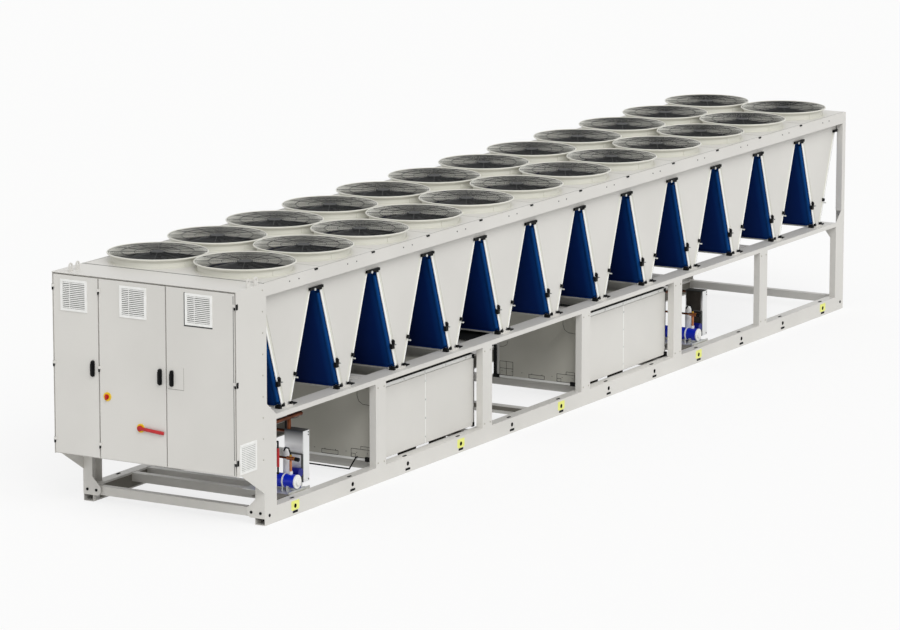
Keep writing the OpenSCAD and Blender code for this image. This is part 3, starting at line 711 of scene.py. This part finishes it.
def beam_pads():
    """Black pads and clamps on the middle beams beside each V foot, the hook on the left plate, and the
    studs of the lower clips."""
    pads, studs = Fittings(), Fittings()
    stud_z = BEAM_Z + 280
    for side in SIDES:
        pad_y = side * (WALL_Y - 20)
        clamp_y = across(side, WALL_Y - 4, WALL_Y + 22)
        hook_y = across(side, WALL_Y - 4, WALL_Y + 26)
        for i in range(MODULES):
            middle = module_middle(i)
            for dx, lift, deep in ((-112, 30, 30), (118, 16, 30), (176, 12, 22)):
                x = middle + dx
                pads.block((x - 24, pad_y - deep, BEAM_Z), (x + 24, pad_y + deep, BEAM_Z + lift))
            for x in (middle - 76, middle + 76):
                pads.block((x - 16, clamp_y[0], BEAM_Z + 18), (x + 16, clamp_y[1], BEAM_Z + 44))
            pads.block((middle - 192, hook_y[0], BEAM_Z + 238), (middle - 144, hook_y[1], BEAM_Z + 290))
            pads.block((middle - 160, hook_y[0], BEAM_Z + 284), (middle - 138, hook_y[1], BEAM_Z + 322))
            for x in (middle - 140, middle + 140):
                studs.rod((x, side * (WALL_Y + 18), stud_z), (x, side * (WALL_Y + 50), stud_z), 8, 8)
    pads.fit("beam_pads", BLACK_PLASTIC, slot="black_plastic")
    studs.fit("clip_studs", ZINC, slot="tray_zinc")


def coil_rails():
    """A navy channel and a grey lip under each coil, between the V feet."""
    channels, lips = Fittings(), Fittings()
    reach, lip_top = WALL_Y - 86, BEAM_Z + 12
    for i in range(MODULES):
        for slant in SIDES:
            x = sorted(module_middle(i) + slant * d for d in (36, 74))
            channels.block((x[0], -reach, lip_top), (x[1], reach, BEAM_Z + 58))
            x = sorted(module_middle(i) + slant * d for d in (36, 94))
            lips.block((x[0], -reach, BEAM_Z + 0.5), (x[1], reach, lip_top))
    # The channels take the fins' painted shade.
    channels.fit("coil_channels", COIL_NAVY_PAINTED_SHADE, slot="coil_coating")
    lips.fit("coil_lips", GREY_TRIM_AND_SHADOW)


def channel_shade_sheets():
    """Sheets of painted shade on the insides of the long rails and three cross members, which are folded open
    inwards.
    """
    shade = Fittings()
    rail_in, thick = HALF - 120, 1.5
    for side in SIDES:
        y = across(side, rail_in, rail_in - thick)
        shade.block((110, y[0], 16), (FRAME_LEN - 110, y[1], RAIL_H - 22))
    for x in (4170, 5460, 8570):
        shade.block((x - thick, -rail_in + 4, 112), (x, rail_in - 4, 156))
    shade.fit("channel_shade_sheets", CHANNEL_SHADE)


def foam_sheets():
    """Black foam under the fourth module, thin black sheets on two middle cross beams, and a brown sheet on
    the rear exchanger."""
    foam, black_sheets, brown = Fittings(), Fittings(), Fittings()
    for side in SIDES:
        y = across(side, 240, HALF - 210)
        foam.block((4466, y[0], BEAM_Z - 46), (5300, y[1], BEAM_Z - 38))
    for n in (4, 6):
        x = n * MODULE + 25
        black_sheets.block((x - 58, -HALF + 213, BEAM_Z), (x + 58, HALF - 213, BEAM_Z + 2))
    plates_x = SETS[1][1] + 1025
    brown.block((plates_x - 3, -880, 226), (plates_x, -690, 744))
    foam.fit("foam_under_coils", FOAM_BLACK, slot="black_plastic")
    black_sheets.fit("cross_beam_black_sheets", FOAM_BLACK, slot="black_plastic")
    brown.fit("exchanger_foam", BROWN_FOAM_AND_SHADE, slot="black_plastic")


def vent_shadow_lines():
    """Painted shadow lines below and beside the right door's vent, and along that door's hinge edge."""
    painted_shadows = Fittings()
    low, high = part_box("vent_right")
    y0, y1, z0, z1 = low[1] / MM, high[1] / MM, low[2] / MM, high[2] / MM
    painted_shadows.block((DOOR_X - 2, y1, z0 - 16), (DOOR_X, y1 + 16, z1 + 4))
    painted_shadows.block((DOOR_X - 2, y0, z0 - 16), (DOOR_X, y1, z0))
    low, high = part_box("door_right")
    y = low[1] / MM + 28
    painted_shadows.block((DOOR_X - 1, y - 3, low[2] / MM + 4), (DOOR_X, y + 3, high[2] / MM - 22))
    painted_shadows.fit("vent_shadow_lines", DARK_DETAIL_AND_SHADOW, "door_right_body", "black_plastic")


def hinge_leaves():
    """The fixed leaves of the outer hinges, on the cabinet's sides."""
    leaves = Fittings()
    for side in SIDES:
        y = across(side, HALF, HALF + 5)
        for z in HINGE_Z:
            leaves.block((-498, y[0], z - 28), (-468, y[1], z + 28))
    leaves.fit("hinge_leaves", BLACK_PLASTIC, slot="black_plastic")


def door_edges():
    """The foam seal inside each door and the hinge straps on its outer face."""
    inset, strip, proud = 34, 12, 4
    strap_wide = 18
    for label in DOORS:
        low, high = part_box(f"door_{label}")
        inside = (high[0] - FRONT_X) / MM
        y0, y1 = low[1] / MM + inset, high[1] / MM - inset
        z0, z1 = low[2] / MM + inset, high[2] / MM - inset
        seal, straps = Fittings(), Fittings()
        for z in (z0, z1 - strip):
            seal.block((inside, y0, z), (inside + proud, y1, z + strip))
        for y in (y0, y1 - strip):
            seal.block((inside, y, z0 + strip), (inside + proud, y + strip, z1 - strip))
        seal.fit(f"door_seal_{label}", FOAM_BLACK, f"door_{label}_body", "black_plastic")
        y = low[1] / MM if label == "right" else high[1] / MM - strap_wide
        for z in HINGE_Z:
            straps.block((DOOR_X - 7, y, z - 26), (DOOR_X, y + strap_wide, z + 26))
        straps.fit(f"hinge_straps_{label}", BLACK_PLASTIC, f"door_{label}_body", "black_plastic")


def lever_grip():
    """The round grip along the switch lever."""
    radius = 18
    low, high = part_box("switch_lever")
    x = (low[0] - FRONT_X) / MM + 12
    tip = (x, low[1] / MM + radius, low[2] / MM + 16)
    grip = Fittings()
    grip.rod((x, high[1] / MM - 28, 968), tip, radius, 16)
    grip.ball(tip, radius)
    grip.fit("lever_grip", SAFETY_RED, "door_middle_body", "red_plastic")


def lid_seam():
    """The seam behind the cabinet's lid."""
    seam = Fittings()
    seam.block((16, -HALF + 8, DECK_Z), (30, HALF - 8, DECK_Z + 1.5))
    seam.fit("lid_seam", DARK_DETAIL_AND_SHADOW, slot="black_plastic")


def foot_bolts():
    """Black bolts in the feet of the corner posts."""
    z, proud = 94, 5
    bolts = Fittings()
    for side in SIDES:
        for x in (81, FRAME_LEN - 81):
            bolts.rod((x, side * HALF, z), (x, side * (HALF + proud), z), 17, 12)
        for y in (HALF - 50, HALF - 160):
            bolts.rod((-6, side * y, 125), (-12, side * y, 125), 15, 12)
    bolts.fit("foot_bolts", BLACK_PLASTIC, slot="black_plastic")


def hatch_shadow_line():
    """A painted shadow below and beside the display hatch."""
    low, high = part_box("display_hatch")
    y0, y1, z0, z1 = low[1] / MM, high[1] / MM, low[2] / MM, high[2] / MM
    gap = Fittings()
    gap.block((DOOR_X - 1.5, y0 - 3, z0 - 7), (DOOR_X, y1 + 5, z0))
    gap.block((DOOR_X - 1.5, y0 - 3, z0), (DOOR_X, y0, z1))
    gap.fit("hatch_shadow_line", GREY_TRIM_AND_SHADOW, "door_right_body", "black_plastic")


def frame_bolts():
    """Bolt heads on the side posts and along the cabinet's sides."""
    proud = 5
    bolts = Fittings()
    for side in SIDES:
        y0, y1 = side * HALF, side * (HALF + proud)
        for k in range(1, MODULES // 2):
            post_x = 2 * k * MODULE + 25
            for x in (post_x - 60, post_x + 60):
                for z in (RAIL_H + 45, BEAM_Z - 95):
                    bolts.rod((x, y0, z), (x, y1, z), 9, 6)
        for z in range(680, 2420, 215):
            bolts.rod((-22, y0, z), (-22, y1, z), 8, 6)
    bolts.fit("frame_bolts", ENCLOSURE_GREY)


guard_wires()
fan_blades()
ring_seams()
fascia_rivets()
deck_tabs()
hole_marks()
vent_filters()
side_vent_felt()
enclosure_trim()
knock_outs()
drier_sets()
tray_edges()
slant_beads()
beam_pads()
coil_rails()
channel_shade_sheets()
foam_sheets()
vent_shadow_lines()
hinge_leaves()
door_edges()
lever_grip()
lid_seam()
foot_bolts()
hatch_shadow_line()
frame_bolts()


# Floor, light and camera


def shown_rays(tree):
    """1 for rays that show the floor or sky, straight or mirrored, and 0 for those that light things."""
    rays = add(tree, "ShaderNodeLightPath")
    mirrored = add(tree, "ShaderNodeMath", {"operation": "MAXIMUM"},
                   {0: rays.outputs["Is Glossy Ray"], 1: rays.outputs["Is Transmission Ray"]})
    shown = add(tree, "ShaderNodeMath", {"operation": "MAXIMUM"},
                {0: rays.outputs["Is Camera Ray"], 1: mirrored.outputs[0]})
    return shown.outputs[0]


def pale_floor():
    """A wide white floor that keeps a fifth of its own shade, so the shadow stays."""
    reach = 400
    data = bpy.data.meshes.new("floor")
    data.from_pydata([(-reach, -reach, 0), (reach, -reach, 0), (reach, reach, 0), (-reach, reach, 0)], [],
                     [(0, 1, 2, 3)])
    floor = bpy.data.objects.new("floor", data)
    bpy.context.scene.collection.objects.link(floor)
    floor.location.z = -0.002
    material = bpy.data.materials.new("pale_floor")
    material.use_nodes = True
    tree = material.node_tree
    tree.nodes.clear()
    matt = add(tree, "ShaderNodeBsdfDiffuse", {"Color": linear("#f2f2f1")})
    white = add(tree, "ShaderNodeEmission", {"Color": (1, 1, 1, 1), "Strength": 1.0})
    share = add(tree, "ShaderNodeMath", {"operation": "MULTIPLY", 1: 0.8}, {0: shown_rays(tree)})
    mix = add(tree, "ShaderNodeMixShader", None,
              {0: share.outputs[0], 1: matt.outputs[0], 2: white.outputs[0]})
    add(tree, "ShaderNodeOutputMaterial", None, {"Surface": mix.outputs[0]})
    data.materials.append(material)


def even_sky():
    """A white sky that lights the object softly."""
    world = bpy.data.worlds.new("even_sky")
    bpy.context.scene.world = world
    world.use_nodes = True
    tree = world.node_tree
    tree.nodes.clear()
    soft = add(tree, "ShaderNodeBackground", {"Color": (1, 1, 1, 1), "Strength": 0.62})
    bright = add(tree, "ShaderNodeBackground", {"Color": (1, 1, 1, 1), "Strength": 1.0})
    mix = add(tree, "ShaderNodeMixShader", None,
              {0: shown_rays(tree), 1: soft.outputs[0], 2: bright.outputs[0]})
    add(tree, "ShaderNodeOutputWorld", None, {"Surface": mix.outputs[0]})


def suns():
    """Two broad soft lamps, the stronger one over the cabinet's right-hand corner."""
    for name, strength, turn in (("key_sun", 1.1, (48, 0, -50)), ("side_sun", 0.55, (55, 0, -8))):
        lamp = bpy.data.lights.new(name, "SUN")
        lamp.energy = strength
        lamp.angle = math.radians(25)
        sun = bpy.data.objects.new(name, lamp)
        sun.rotation_euler = [math.radians(a) for a in turn]
        bpy.context.scene.collection.objects.link(sun)


def camera():
    """The photograph's view: a long lens from beyond the cabinet's right-hand corner."""
    photo_width = 900
    focal_px = 4595.4
    data = bpy.data.cameras.new("photo_camera")
    data.sensor_fit = "HORIZONTAL"
    data.sensor_width = 36
    data.lens = 36 * focal_px / photo_width
    data.shift_x = 5.9 / photo_width
    data.shift_y = -5.0 / photo_width
    data.clip_end = 2000
    eye = bpy.data.objects.new("photo_camera", data)
    eye.location = at(-37479, -25321, 10897)
    eye.rotation_euler = (math.radians(90 - 11.04), 0, math.radians(-59.42))
    bpy.context.scene.collection.objects.link(eye)
    bpy.context.scene.camera = eye


pale_floor()
even_sky()
suns()
camera()
bpy.context.scene.view_settings.view_transform = "Standard"
